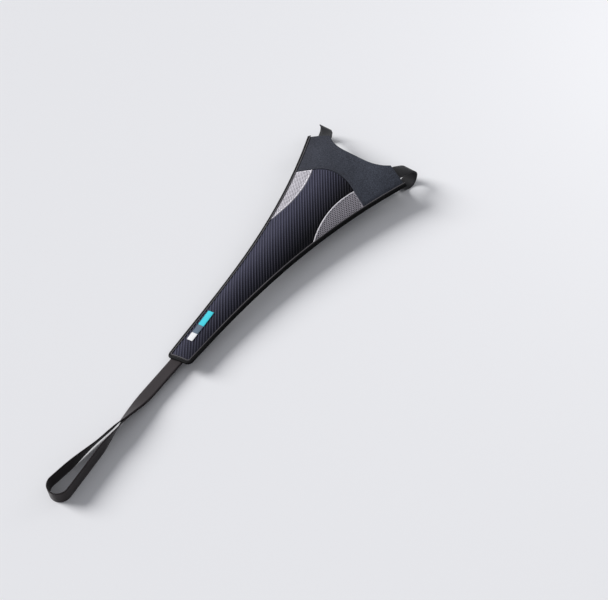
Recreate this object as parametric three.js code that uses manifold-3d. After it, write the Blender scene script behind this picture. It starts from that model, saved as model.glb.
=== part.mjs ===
// Sweat guard for a road bicycle: a long tapered cloth cover that hangs between the
// handlebar and the seat post and keeps sweat off the top tube and the stem.
// +Y runs forwards to the handlebar, +X to the rider's right, +Z up, in millimetres.
import * as THREE from 'three';
import Module from 'manifold-3d';

const wasm = await Module();
wasm.setup();

// Outline of the cover, seen from above
const coverLength = 422.8;
const frontHalfWidth = 89.3;
const tailHalfWidth = 21.2;
const taper = 2.37;
const tailCornerRadius = 8;
const cornerBehindBar = 26.5;
const shoulderX = 55;
const shoulderBehindBar = 15;
const scallopBehindBar = 32;
const scallopPower = 3.2;

// How the hung cover bows up over the stem and drops at the tail
const frontEdgeHeight = 30.6;
const tailEdgeHeight = 10.3;
const evenFall = 16.8;
const tailDropPower = 7;
const frontCrown = 21.2;
const tailCrown = 2;
const tailTilt = THREE.MathUtils.degToRad(20);

// Seam between the yoke and the mesh, and the inner seams of the grey panels
const seamApexBehindBar = 73.5;
const seamArchHalfWidth = 37;
const seamArchDrop = 10.6;
const seamSideSlope = 0.38;
const insertTipBehindBar = 184;
const insertTipX = 36;
const insertBow = 8.7;
const insertTipPast = 1.05;

// Cloth thicknesses, as heights over the middle surface of the cover
const clothThickness = 1.6;
const pressedThickness = 0.8;
const liningThickness = 0.7;
const layerGap = 0.3;
const seamGap = 0.4;
const ribHeight = 0.7;
const ribPitch = 3.84;
const ribAngle = THREE.MathUtils.degToRad(36.5);

// Edge tape, folded over the cloth, and the turned hem of the yoke
const tapeLeg = 4.2;
const tapeThickness = 0.7;
const tapeNose = 1.35;
const pressedRim = 4.6;
const fullRim = 8;
const seamRim = 2.4;
const hemWidth = 10;
const hemNose = 0.9;
const liningSetBack = 1.8;

// Two handlebar straps with their hook and loop pads
const barDiameter = 28;
const barClearance = 0.3;
const barStrapWidth = 22;
const barStrapFromEdge = 23.3;
const leftLoopOut = 18;
const rightLoopOut = 7;
const barStrapThickness = 1.6;
const barStrapSewnEnd = 55;
const barStrapLeaves = 19;
const barReturnStart = 35;
const padThickness = 1;
const padInset = 2;
const barPadLength = 12;
const bendReach = 5;

// Elastic tail strap: its layers turn on edge and part round the seat post, the right one
// standing upright sooner than the left one
const postDiameter = 27.2;
const postClearance = 0.4;
const postBehindBar = 684;
const tailStrapWidth = 22;
const tailStrapX = -5;
const tailStrapThickness = 1.4;
const tailStrapSewn = 34;
const tailPadLength = 26;
const tailPadGap = 8;
const tailHinge = 4;
const twistStart = 60;
const edgeOnBehindTail = 135;
const strandTurn = THREE.MathUtils.degToRad(66);
const partingBehindTail = 112;
const rightUprightLag = 10;
const rightUprightRun = 43;
const leftUprightRun = 60;
const twistEnd = 212;

// Woven label by the left edge tape
const labelFrontX = -8.1;
const labelRearX = -5.3;
const labelWidth = 9.5;
const labelLength = 52;
const labelBeforeTail = 33.5;
const labelThickness = 0.4;

// Values worked out from the sizes above
const frontY = -cornerBehindBar;
const tailY = frontY - coverLength;
const clothTailY = tailY + tapeNose;
const clothBottom = layerGap / 2;
const clothTop = clothBottom + clothThickness;
const liningTop = -layerGap / 2;
const liningBottom = liningTop - liningThickness;
const tapeInnerBottom = liningBottom - layerGap;
const tapeBottom = tapeInnerBottom - tapeThickness;
const tapeInnerTop = clothBottom + pressedThickness + layerGap + 0.1;
const tapeTop = tapeInnerTop + tapeThickness;
const underTape = tapeBottom - layerGap - 0.05;
const seamCornerY = -seamApexBehindBar - seamArchDrop;
const barStrapX = frontHalfWidth - barStrapFromEdge;
const labelFrontY = tailY + labelBeforeTail + labelLength;

const lerp = THREE.MathUtils.lerp;
const clamp = THREE.MathUtils.clamp;

function along(y) {
  return (frontY - y) / coverLength;
}

// Half width of the outside of the edge tape, without the tail's round corners.
function outerHalfWidth(y) {
  const t = clamp(along(y), -0.2, 1);
  return tailHalfWidth + (frontHalfWidth - tailHalfWidth) * (1 - t) ** taper;
}

// Half width of the cut cloth, with the tail's round corners.
function clothHalfWidth(y) {
  const side = outerHalfWidth(y) - tapeNose;
  const radius = tailCornerRadius - tapeNose;
  const above = clamp(y - clothTailY, 0, radius);
  return side - radius + Math.sqrt(radius ** 2 - (radius - above) ** 2);
}

function middleHeight(x, y) {
  const t = clamp(along(y), 0, 1.2);
  const drop = frontEdgeHeight - tailEdgeHeight - evenFall;
  const edge = frontEdgeHeight - evenFall * t - drop * t ** tailDropPower;
  const crown = lerp(frontCrown, tailCrown, clamp(along(y), -0.2, 1));
  const tilt = x * Math.tan(tailTilt) * t ** tailDropPower;
  return edge + crown * (1 - (x / outerHalfWidth(y)) ** 2) + tilt;
}

// A point at a height over the middle surface, measured square to it.
function lift(x, y, height) {
  const step = 0.5;
  const slopeX = (middleHeight(x + step, y) - middleHeight(x - step, y)) / (2 * step);
  const slopeY = (middleHeight(x, y + step) - middleHeight(x, y - step)) / (2 * step);
  const normal = new THREE.Vector3(-slopeX, -slopeY, 1).normalize();
  return normal.multiplyScalar(height).add(new THREE.Vector3(x, y, middleHeight(x, y)));
}

function frontEdge(x) {
  const size = Math.abs(x);
  if (size < shoulderX) {
    const rise = (scallopBehindBar - shoulderBehindBar) * (size / shoulderX) ** scallopPower;
    return rise - scallopBehindBar;
  }
  const share = (size - shoulderX) / (frontHalfWidth - shoulderX);
  return -lerp(shoulderBehindBar, cornerBehindBar, share);
}

function yokeSeam(x) {
  const size = Math.abs(x);
  const arch = Math.min(size / seamArchHalfWidth, 1) ** 2 * seamArchDrop;
  const side = Math.max(size - seamArchHalfWidth, 0) * seamSideSlope;
  return -seamApexBehindBar - arch - side;
}

function insertSeam(y) {
  const share = (seamCornerY - y) / (seamCornerY + insertTipBehindBar);
  const chord = lerp(seamArchHalfWidth, insertTipX, share);
  return chord - 4 * insertBow * share * (1 - share);
}

// Thickness of the top cloth, pressed flat where the edge tape grips it.
function pressed(distance) {
  const share = clamp((distance - pressedRim + 0.1) / (fullRim - pressedRim), 0, 1);
  return clothBottom + lerp(pressedThickness, clothThickness, share);
}

// Turns every face outwards, whatever way the rows ran.
function facingOut(points, faces) {
  let volume = 0;
  for (const [a, b, c] of faces) {
    volume += points[a].dot(points[b].clone().cross(points[c]));
  }
  const index = faces.flatMap(([a, b, c]) => (volume < 0 ? [a, c, b] : [a, b, c]));
  const geometry = new THREE.BufferGeometry();
  geometry.setAttribute('position', new THREE.Float32BufferAttribute(
    points.flatMap((p) => p.toArray()), 3));
  geometry.setIndex(index);
  return geometry;
}

// Closed body from rows of cells, each cell giving its lower and its upper point.
function sheetBody(rows) {
  const count = rows[0].length;
  const points = [];
  for (const row of rows) {
    for (const cell of row) {
      points.push(cell.lower, cell.upper);
    }
  }
  const at = (i, j, upper) => 2 * (i * count + j) + (upper ? 1 : 0);
  const faces = [];
  const quad = (a, b, c, d) => faces.push([a, b, c], [a, c, d]);
  for (let i = 0; i + 1 < rows.length; i += 1) {
    for (let j = 0; j + 1 < count; j += 1) {
      quad(at(i, j, true), at(i + 1, j, true), at(i + 1, j + 1, true), at(i, j + 1, true));
      quad(at(i, j, false), at(i, j + 1, false), at(i + 1, j + 1, false), at(i + 1, j, false));
    }
  }
  const rim = [];
  for (let j = 0; j < count; j += 1) rim.push([0, j]);
  for (let i = 1; i < rows.length; i += 1) rim.push([i, count - 1]);
  for (let j = count - 2; j >= 0; j -= 1) rim.push([rows.length - 1, j]);
  for (let i = rows.length - 2; i > 0; i -= 1) rim.push([i, 0]);
  for (let k = 0; k < rim.length; k += 1) {
    const [i, j] = rim[k];
    const [m, n] = rim[(k + 1) % rim.length];
    quad(at(i, j, false), at(i, j, true), at(m, n, true), at(m, n, false));
  }
  return facingOut(points, faces);
}

// Closed body from rings of points that follow one another, with flat ends.
function ringBody(rings) {
  const count = rings[0].length;
  const points = rings.flat();
  const faces = [];
  for (let i = 0; i + 1 < rings.length; i += 1) {
    for (let j = 0; j < count; j += 1) {
      const a = i * count + j;
      const b = i * count + (j + 1) % count;
      faces.push([a, b, b + count], [a, b + count, a + count]);
    }
  }
  const section = rings[0].map((p) => p.ring);
  const caps = THREE.ShapeUtils.triangulateShape(section, []);
  const turn = THREE.ShapeUtils.area(section) > 0 ? 1 : -1;
  const last = (rings.length - 1) * count;
  for (const [a, b, c] of caps) {
    faces.push(turn > 0 ? [c, b, a] : [a, b, c]);
    faces.push(turn > 0 ? [last + a, last + b, last + c] : [last + c, last + b, last + a]);
  }
  return facingOut(points, faces);
}

// Where the columns of a sheet lie across a half width, close together at its rim.
function columns(half, inner) {
  const rim = Math.min(pressedRim, half * 0.3);
  const full = Math.min(fullRim, half * 0.5);
  const list = [-half, rim - half];
  for (let k = 0; k <= inner; k += 1) {
    list.push((half - full) * (2 * k / inner - 1));
  }
  list.push(half - rim, half);
  return list;
}

// The y at which a column meets a line across the cover, found by a few passes.
function meet(line, column, inner) {
  let y = line(0);
  for (let pass = 0; pass < 12; pass += 1) {
    y = line(columns(clothHalfWidth(y), inner)[column]);
  }
  return y;
}

// Rows of a sheet that runs the whole width of the cover between two lines.
function fullWidthRows(fromLine, toLine, shares, inner, lower, upper) {
  const count = columns(1, inner).length;
  const starts = [];
  const ends = [];
  for (let j = 0; j < count; j += 1) {
    starts.push(meet(fromLine, j, inner));
    ends.push(meet(toLine, j, inner));
  }
  return shares.map((share) => {
    const row = [];
    for (let j = 0; j < count; j += 1) {
      const y = lerp(starts[j], ends[j], share);
      const half = clothHalfWidth(y);
      const x = columns(half, inner)[j];
      row.push({ lower: lift(x, y, lower), upper: lift(x, y, upper(half - Math.abs(x))) });
    }
    return row;
  });
}

function even(steps) {
  return Array.from({ length: steps + 1 }, (_, k) => k / steps);
}

function asManifold(geometry) {
  const vertProperties = new Float32Array(geometry.attributes.position.array);
  const triVerts = new Uint32Array(geometry.index.array);
  return new wasm.Manifold(new wasm.Mesh({ numProp: 3, vertProperties, triVerts }));
}

function fromManifold(body) {
  const mesh = body.getMesh();
  const geometry = new THREE.BufferGeometry();
  geometry.setAttribute('position', new THREE.BufferAttribute(mesh.vertProperties.slice(), 3));
  geometry.setIndex(new THREE.BufferAttribute(mesh.triVerts.slice(), 1));
  return geometry;
}

// Yoke of soft cloth at the handlebar, its front edge turned under over the lining.
function yokePanel() {
  const inner = 12;
  const rows = fullWidthRows(frontEdge, (x) => yokeSeam(x) + seamGap / 2, even(6), inner,
    clothBottom, pressed);
  const top = asManifold(sheetBody(rows));
  const fold = [
    [-1.6, 0.5], [-1.6, 1.2], [0, clothTop - 0.15], [0.5 * hemNose, 1.1], [hemNose, 0.2],
    [hemNose, -0.6], [0.5 * hemNose, tapeBottom + 0.35], [-0.2, tapeBottom],
    [-hemWidth, tapeBottom], [-hemWidth, tapeInnerBottom], [-0.45, tapeInnerBottom],
    [-0.2, tapeInnerBottom + 0.25], [-0.2, 0.5],
  ];
  const reach = clothHalfWidth(frontY) - tapeLeg - layerGap - 0.6;
  const stations = [];
  for (let k = 0; k <= 36; k += 1) {
    stations.push(reach * (k / 18 - 1));
  }
  const rings = stations.map((x) => fold.map(([n, h]) => {
    const y = frontEdge(x) + n;
    const limit = clothHalfWidth(y) - tapeLeg - layerGap;
    const point = lift(clamp(x, -limit, limit), y, h);
    point.ring = new THREE.Vector2(n, h);
    return point;
  }));
  return fromManifold(top.add(asManifold(ringBody(rings))));
}

// Outline of the ribbed centre panel, from the seam's apex round to it again.
function panelOutline() {
  const right = [];
  const sideX = insertSeam(seamCornerY) - seamGap / 2;
  for (const share of even(8)) {
    const x = sideX * share;
    right.push(new THREE.Vector2(x, yokeSeam(x) - seamGap / 2));
  }
  const startY = right.at(-1).y;
  const radius = tailCornerRadius - tapeNose;
  const straightEnd = clothTailY + radius;
  for (const share of even(48).slice(1)) {
    const y = lerp(startY, straightEnd, share);
    right.push(new THREE.Vector2(Math.min(insertSeam(y) - seamGap / 2, clothHalfWidth(y)), y));
    if (y < -insertTipBehindBar) right.at(-1).x = Math.min(clothHalfWidth(y), tipEdge(y));
  }
  for (const share of even(6).slice(1)) {
    const y = straightEnd - radius * Math.sin(share * Math.PI / 2);
    right.push(new THREE.Vector2(clothHalfWidth(y), y));
  }
  const left = right.slice(1).reverse().map((p) => new THREE.Vector2(-p.x, p.y));
  return right.concat(left);
}

function tipEdge(y) {
  return y < insertEndY() ? Infinity : insertSeam(y) - seamGap / 2;
}

function insertEndY() {
  return lerp(seamCornerY, -insertTipBehindBar, insertTipPast);
}

// Where a slanting line of a rib crosses the outline: its two outermost crossings.
function crossings(outline, across, ribDirection, value) {
  const found = [];
  for (let k = 0; k < outline.length; k += 1) {
    const a = outline[k];
    const b = outline[(k + 1) % outline.length];
    const fromA = a.dot(across) - value;
    const fromB = b.dot(across) - value;
    if ((fromA > 0) !== (fromB > 0)) {
      const hit = a.clone().lerp(b, fromA / (fromA - fromB));
      found.push(hit.dot(ribDirection));
    }
  }
  return [Math.min(...found), Math.max(...found)];
}

// Ribbed mesh panel down the middle: slanting ridges, pressed flat at its edges.
function meshPanel() {
  const outline = panelOutline();
  const ribDirection = new THREE.Vector2(Math.sin(ribAngle), -Math.cos(ribAngle));
  const across = new THREE.Vector2(Math.cos(ribAngle), Math.sin(ribAngle));
  const values = outline.map((p) => p.dot(across));
  const lowest = Math.min(...values);
  const highest = Math.max(...values);
  const ribs = Math.round((highest - lowest) / ribPitch);
  const cells = 9;
  const rows = [];
  for (let k = 0; k <= 2 * ribs; k += 1) {
    const edge = 0.06;
    const value = clamp(lerp(lowest, highest, k / (2 * ribs)), lowest + edge, highest - edge);
    const [from, to] = crossings(outline, across, ribDirection, value);
    const start = across.clone().multiplyScalar(value);
    const onRow = (reach) => start.clone().addScaledVector(ribDirection, reach);
    const first = reachInside(onRow, from, to);
    const last = reachInside(onRow, to, from);
    const row = [];
    for (let j = 0; j <= cells; j += 1) {
      let reach = lerp(first, last, (j - 1) / (cells - 2));
      if (j === 0) reach = from;
      if (j === cells) reach = to;
      const point = onRow(reach);
      const inside = j > 1 && j < cells - 1 ? clamp(2 * rimShare(point) - 2, 0, 1) : 0;
      const ridge = k % 2 === 1 ? ribHeight * inside : 0;
      const full = lerp(pressedThickness, clothThickness, inside);
      row.push({
        lower: lift(point.x, point.y, clothBottom),
        upper: lift(point.x, point.y, clothBottom + full + ridge),
      });
    }
    rows.push(row);
  }
  return sheetBody(rows);
}

// How far a point of the centre panel is inside its pressed rim, where 1 is its end.
function rimShare({ x, y }) {
  const size = Math.abs(x);
  const side = 0.93 * (outerHalfWidth(y) - tapeNose - size) / pressedRim;
  const tail = (y - clothTailY) / pressedRim;
  const yoke = (yokeSeam(x) - y) / seamRim;
  const insert = y > insertEndY() ? (insertSeam(y) - size) / seamRim : Infinity;
  return Math.min(side, tail, yoke, insert);
}

// The first place on a row, from one end, that is past the pressed rim.
function reachInside(onRow, from, to) {
  let share = 0;
  while (share < 0.45 && rimShare(onRow(lerp(from, to, share))) < 1.05) {
    share += 0.004;
  }
  return lerp(from, to, share);
}

// Grey mesh panel between the inner seam and the edge tape; side is -1 left, 1 right.
function sideInsert(side) {
  const rows = even(14).map((share) => {
    const cells = [0, 0.2, 0.4, 0.6, 0.8, 1];
    return cells.map((cell) => {
      const seam = (x) => yokeSeam(x) - seamGap / 2;
      let y = seamCornerY;
      let x = 0;
      for (let pass = 0; pass < 12; pass += 1) {
        const innerX = insertSeam(y) + seamGap / 2;
        x = lerp(innerX, clothHalfWidth(y), cell);
        y = lerp(seam(x), insertEndY(), share);
      }
      const room = Math.min(clothHalfWidth(y) - x, 2 * (x - insertSeam(y)) + pressedRim);
      return {
        lower: lift(side * x, y, clothBottom),
        upper: lift(side * x, y, pressed(room)),
      };
    });
  });
  return sheetBody(rows);
}

// Thin lining under the whole cover, from inside the front hem to the tail.
function lining() {
  const start = (x) => frontEdge(x) - liningSetBack;
  const end = () => clothTailY;
  const shares = even(26).map((share) => share * 0.975);
  const corner = [0.982, 0.988, 0.994, 0.998, 1];
  const columns = 12;
  const rows = fullWidthRows(start, end, shares.concat(corner), columns, liningBottom,
    () => liningTop);
  return sheetBody(rows);
}

// Path of the cut edge: down the left side, round the tail and up the right side.
function edgePath() {
  const right = [];
  const radius = tailCornerRadius - tapeNose;
  const straightEnd = clothTailY + radius;
  for (const share of even(34)) {
    const y = lerp(frontY + 1.2, straightEnd, share);
    right.push(new THREE.Vector2(clothHalfWidth(y), y));
  }
  const cornerX = right.at(-1).x - radius;
  for (const share of even(5).slice(1)) {
    const turn = share * Math.PI / 2;
    right.push(new THREE.Vector2(
      cornerX + radius * Math.cos(turn), straightEnd - radius * Math.sin(turn)));
  }
  right.push(new THREE.Vector2(0, clothTailY));
  const left = right.slice(0, -1).map((p) => new THREE.Vector2(-p.x, p.y));
  return left.concat(right.reverse());
}

// One folded tape that grips every layer along both sides and round the tail.
function edgeTape() {
  const web = 0.3;
  const section = [
    [-tapeLeg, tapeInnerTop], [web, tapeInnerTop], [web, tapeInnerBottom],
    [-tapeLeg, tapeInnerBottom], [-tapeLeg, tapeBottom + 0.1], [0.1, tapeBottom],
    [0.95, tapeBottom + 0.5], [tapeNose, 0.1], [0.95, tapeTop - 0.5], [0.1, tapeTop],
    [-tapeLeg + 0.5, tapeTop], [-tapeLeg, tapeTop - 0.25],
  ];
  const path = edgePath();
  const rings = path.map((point, k) => {
    const before = path[Math.max(k - 1, 0)];
    const after = path[Math.min(k + 1, path.length - 1)];
    const heading = after.clone().sub(before).normalize();
    const out = new THREE.Vector2(heading.y, -heading.x);
    return section.map(([n, h]) => {
      const place = lift(point.x + out.x * n, point.y + out.y * n, h);
      place.ring = new THREE.Vector2(n, h);
      return place;
    });
  });
  return ringBody(rings);
}

// Flat band along stations, each with its centre and the direction of its width.
function band(stations, width, thickness) {
  const round = Math.min(thickness * 0.3, 0.5);
  const w = width / 2;
  const h = thickness / 2;
  const section = [
    [w - round, h], [w, h - round], [w, round - h], [w - round, -h],
    [round - w, -h], [-w, round - h], [-w, h - round], [round - w, h],
  ];
  const rings = stations.map((station, k) => {
    const before = stations[Math.max(k - 1, 0)].centre;
    const after = stations[Math.min(k + 1, stations.length - 1)].centre;
    const heading = after.clone().sub(before).normalize();
    const normal = station.side.clone().cross(heading).normalize();
    return section.map(([a, b]) => {
      const place = station.centre.clone().addScaledVector(station.side, a);
      place.addScaledVector(normal, b);
      place.ring = new THREE.Vector2(a, b);
      return place;
    });
  });
  return ringBody(rings);
}

// A station of a band that lies against the underside of the cover.
function underside(x, y, halfWidth, height) {
  const low = lift(x - halfWidth, y, height);
  const high = lift(x + halfWidth, y, height);
  return { centre: low.clone().add(high).multiplyScalar(0.5), side: high.sub(low).normalize() };
}

// Angle at which a line from a point touches a circle, on the side that turn picks.
function touchAngle(point, centre, radius, turn) {
  const towards = point.clone().sub(centre);
  return towards.angle() + turn * Math.acos(radius / towards.length());
}

// Rounds the corner between two straight stretches with a short curve.
function rounded(before, corner, after, reach) {
  const first = corner.clone().lerp(before, Math.min(reach / corner.distanceTo(before), 0.9));
  const last = corner.clone().lerp(after, Math.min(reach / corner.distanceTo(after), 0.9));
  const curve = new THREE.QuadraticBezierCurve3(first, corner, last);
  return curve.getPoints(4);
}

const barStrapInner = barDiameter / 2 + barClearance;
const barStrapMiddle = barStrapInner + barStrapThickness / 2;
const barAxisZ = barStrapInner + barStrapThickness;
const facet = THREE.MathUtils.degToRad(15);
const frontFacets = 2 * facet;
const splayRun = 3 * facet;
const hingeShare = 0.4;
const barReturnEnd = barReturnStart + bendReach + 3 + barPadLength;
const sewnHeight = underTape - barStrapThickness / 2;
const loopPadTop = underTape - barStrapThickness - layerGap;
const hookPadTop = loopPadTop - padThickness - layerGap;
const returnHeight = hookPadTop - padThickness - layerGap - barStrapThickness / 2;

// Strap sewn under the front corner, over the bar, round it and back under itself.
// The loop sits further out on the bar than the sewn end.
function handlebarStrap(side) {
  const x = side * barStrapX;
  const loopX = x + side * (side < 0 ? leftLoopOut : rightLoopOut);
  const half = barStrapWidth / 2;
  const level = new THREE.Vector3(1, 0, 0);
  const centre = new THREE.Vector2(0, barAxisZ);
  const sewn = even(4).map((share) => underside(
    x, -lerp(barStrapSewnEnd, barStrapLeaves, share), half, sewnHeight));
  const leave = sewn.at(-1).centre;
  const arrive = underside(x, -barReturnStart, half, returnHeight);
  const stationRadius = barStrapMiddle / Math.cos(facet / 2);
  const startAngle = touchAngle(new THREE.Vector2(leave.y, leave.z), centre, stationRadius, -1);
  const endAngle = touchAngle(
    new THREE.Vector2(arrive.centre.y, arrive.centre.z), centre, stationRadius, 1);
  const first = Math.floor((startAngle - facet / 2) / facet) * facet + facet / 2;
  const lowest = endAngle - 2 * Math.PI;
  const onBar = (angle) => {
    const out = clamp((startAngle + splayRun - angle) / (startAngle + splayRun - frontFacets), 0, 1);
    const back = clamp((angle - lowest + splayRun) / (Math.PI - splayRun), 0, 1);
    return new THREE.Vector3(
      lerp(x, loopX, THREE.MathUtils.smoothstep(Math.min(out, back), 0, 1)),
      stationRadius * Math.cos(angle), barAxisZ + stationRadius * Math.sin(angle));
  };
  const round = [];
  for (let angle = first; angle > lowest; angle -= facet) {
    round.push({ centre: onBar(angle), side: level });
  }
  const run = even(4).slice(0, -1).map((share) => ({
    centre: leave.clone().lerp(round[0].centre, lerp(hingeShare, 1, share))
      .setX(lerp(x, round[0].centre.x, share)),
    side: sewn.at(-1).side.clone().lerp(level, share).normalize(),
  }));
  const back = underside(x, -barReturnEnd, half, returnHeight);
  const bend = rounded(round.at(-1).centre, arrive.centre, back.centre, bendReach);
  const turned = bend.map((point, k) => (
    { centre: point, side: level.clone().lerp(arrive.side, k / 4).normalize() }));
  const stations = [...sewn, ...run, ...round, ...turned, back];
  return band(stations, barStrapWidth, barStrapThickness);
}

// Pad of hook or loop tape that lies along the underside.
function undersidePad(x, frontBehind, length, width, top, thickness) {
  const height = top - thickness / 2;
  const stations = even(4).map(
    (share) => underside(x, -(frontBehind + length * share), width / 2, height));
  return band(stations, width, thickness);
}

const postInner = postDiameter / 2 + postClearance;
const tailStackGap = tailStrapThickness + layerGap;
const tailUpperHeight = underTape - tailStrapThickness / 2;
const tailLowerHeight = tailUpperHeight - tailStackGap;
const tailPadWidth = tailStrapWidth - 2 * padInset;
const sewnFrontY = tailY + tailStrapSewn;
const loopPadFrontY = sewnFrontY + tailPadGap + tailPadLength;
const tailLoopTop = tapeInnerBottom;
const tailHookTop = tailLoopTop - padThickness - layerGap;
const tailEndHeight = tailHookTop - padThickness - layerGap - tailStrapThickness / 2;

// A layer of the tail strap: 1 is the upper one, which passes left of the post.
function twisted(behindTail, layer) {
  const middle = (tailUpperHeight + tailLowerHeight) / 2;
  const start = underside(tailStrapX, tailY, tailStrapWidth / 2, middle);
  const startTurn = Math.asin(start.side.z);
  const partShare = THREE.MathUtils.smoothstep(behindTail, twistStart, edgeOnBehindTail);
  const rightStart = partingBehindTail + rightUprightLag;
  const endShare = layer > 0
    ? THREE.MathUtils.smoothstep(behindTail, twistEnd - leftUprightRun, twistEnd)
    : THREE.MathUtils.smoothstep(behindTail, rightStart, rightStart + rightUprightRun);
  const turn = lerp(lerp(startTurn, strandTurn, partShare), Math.PI / 2, endShare);
  const sink = (start.centre.z - tailStrapWidth / 2 * Math.sin(startTurn)) / Math.cos(startTurn);
  const height = tailStrapWidth / 2 * Math.sin(turn) + sink * Math.cos(turn);
  const apart = tailStackGap / 2 * layer;
  const drift = lerp(start.centre.x, 0, clamp(behindTail / partingBehindTail, 0, 1));
  return {
    centre: new THREE.Vector3(
      drift - apart * Math.sin(turn), tailY - behindTail, height + apart * Math.cos(turn)),
    side: new THREE.Vector3(Math.cos(turn), 0, Math.sin(turn)),
  };
}

// One elastic band: sewn under the tail, back, round the post and forward again.
function tailStrap() {
  const half = tailStrapWidth / 2;
  const upright = new THREE.Vector3(0, 0, 1);
  const post = new THREE.Vector2(0, -postBehindBar);
  const facets = 13;
  const parting = new THREE.Vector2(-tailStackGap / 2, tailY - partingBehindTail);
  let radius = postInner + tailStrapThickness / 2;
  const touch = touchAngle(parting, post, radius, 1);
  const step = (3 * Math.PI - 2 * touch) / facets;
  radius /= Math.cos(step / 2);
  const landing = new THREE.Vector2(radius * Math.cos(touch), post.y + radius * Math.sin(touch));
  const widen = (-tailStackGap / 2 - landing.x) / (parting.y - landing.y);
  const strand = (layer) => even(30).map((share) => {
    const behind = lerp(tailHinge + 1, twistEnd, share);
    const station = twisted(behind, layer);
    station.centre.x -= layer * Math.max(behind - partingBehindTail, 0) * widen;
    return station;
  });
  const under = (behinds, height) => behinds.map((y) => underside(tailStrapX, y, half, height));
  const lastSewn = tailY + tailHinge;
  const middleSewn = lerp(lastSewn, sewnFrontY, 0.3);
  const upper = under([sewnFrontY, middleSewn, lastSewn], tailUpperHeight);
  const lower = under([lastSewn, middleSewn, sewnFrontY], tailLowerHeight);
  const end = under([sewnFrontY + tailPadGap, loopPadFrontY + 2], tailEndHeight);
  const round = [];
  for (let k = 0; k <= facets; k += 1) {
    const angle = touch + step * k;
    round.push({
      centre: new THREE.Vector3(
        radius * Math.cos(angle), post.y + radius * Math.sin(angle), half),
      side: upright,
    });
  }
  const stations = [
    ...upper, ...strand(1), ...round, ...strand(-1).reverse(), ...lower, ...end,
  ];
  return band(stations, tailStrapWidth, tailStrapThickness);
}

// Narrow woven label, sewn on beside the left edge tape.
function label() {
  const bottom = clothTop + ribHeight + layerGap;
  const rows = even(12).map((share) => even(3).map((cell) => {
    const x = lerp(labelFrontX, labelRearX, share) + labelWidth * (cell - 0.5);
    const y = labelFrontY - labelLength * share;
    return { lower: lift(x, y, bottom), upper: lift(x, y, bottom + labelThickness) };
  }));
  return sheetBody(rows);
}

const cover = new THREE.Group();

function addPiece(name, geometry, color, roughness) {
  const material = new THREE.MeshStandardMaterial({ color, roughness, metalness: 0 });
  const mesh = new THREE.Mesh(geometry, material);
  mesh.name = name;
  geometry.computeVertexNormals();
  cover.add(mesh);
}

addPiece('lining', lining(), 0x1b1b1e, 0.9);
addPiece('mesh_panel', meshPanel(), 0x1f222b, 0.6);
addPiece('side_insert_left', sideInsert(-1), 0xb4b0b8, 0.85);
addPiece('side_insert_right', sideInsert(1), 0xb4b0b8, 0.85);
addPiece('yoke_panel', yokePanel(), 0x363a41, 0.95);
addPiece('edge_tape', edgeTape(), 0x141416, 0.7);
addPiece('label', label(), 0x2bb9c6, 0.6);

for (const [hand, side] of [['left', -1], ['right', 1]]) {
  const x = side * barStrapX;
  const padWidth = barStrapWidth - 2 * padInset;
  addPiece(`handlebar_strap_${hand}`, handlebarStrap(side), 0x18181b, 0.8);
  addPiece(`loop_pad_${hand}`, undersidePad(
    x, barReturnStart + bendReach - 1, barPadLength, padWidth, loopPadTop, padThickness), 0x202024, 0.95);
  addPiece(`hook_pad_${hand}`, undersidePad(
    x, barReturnStart + bendReach + 1, barPadLength, padWidth, hookPadTop, padThickness), 0x0f0f11, 0.6);
}

addPiece('tail_strap', tailStrap(), 0x2b2626, 0.85);
addPiece('tail_loop_pad', undersidePad(
  tailStrapX, -loopPadFrontY, tailPadLength, tailPadWidth, tailLoopTop, padThickness), 0x202024, 0.95);
addPiece('tail_hook_pad', undersidePad(
  tailStrapX, -loopPadFrontY, tailPadLength, tailPadWidth, tailHookTop, padThickness), 0x0f0f11, 0.6);

const bounds = new THREE.Box3().setFromObject(cover);
const middle = bounds.getCenter(new THREE.Vector3());
cover.position.set(-middle.x, -middle.y, -bounds.min.z);

export default cover;
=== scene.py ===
import math

import bmesh
import bpy
import numpy as np
from mathutils import Matrix, Vector


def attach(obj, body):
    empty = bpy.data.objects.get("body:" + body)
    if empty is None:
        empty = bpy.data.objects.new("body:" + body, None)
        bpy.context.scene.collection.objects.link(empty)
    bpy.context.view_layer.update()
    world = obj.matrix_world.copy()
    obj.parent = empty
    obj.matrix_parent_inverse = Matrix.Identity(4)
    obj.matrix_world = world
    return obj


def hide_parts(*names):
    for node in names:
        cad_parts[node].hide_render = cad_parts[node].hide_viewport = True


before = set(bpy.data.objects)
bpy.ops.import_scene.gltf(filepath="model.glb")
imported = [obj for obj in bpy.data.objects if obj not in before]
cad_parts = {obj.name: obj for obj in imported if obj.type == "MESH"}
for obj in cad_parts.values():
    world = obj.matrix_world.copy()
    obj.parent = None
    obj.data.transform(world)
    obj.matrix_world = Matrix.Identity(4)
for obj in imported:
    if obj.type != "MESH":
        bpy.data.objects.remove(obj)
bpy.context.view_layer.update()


# The studio: a camera above and behind the cover's right front corner, a pale floor under
# the hanging cover, and two soft lamps, the stronger of them on the left.
camera_place = Vector((0.73596, -0.72719, 1.3866))
camera_right = Vector((0.806166, 0.590385, -0.039279))
camera_forward = Vector((-0.379818, 0.465452, -0.799433))
camera_up = camera_right.cross(camera_forward)

camera_data = bpy.data.cameras.new("camera")
camera_data.sensor_fit = "HORIZONTAL"
camera_data.sensor_width = 36.0
camera_data.lens = 72.689
camera = bpy.data.objects.new("camera", camera_data)
bpy.context.scene.collection.objects.link(camera)
turn = Matrix((camera_right, camera_up, -camera_forward)).transposed().to_4x4()
camera.matrix_world = Matrix.Translation(camera_place) @ turn
bpy.context.scene.camera = camera
bpy.context.scene.view_settings.view_transform = "Standard"


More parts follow.
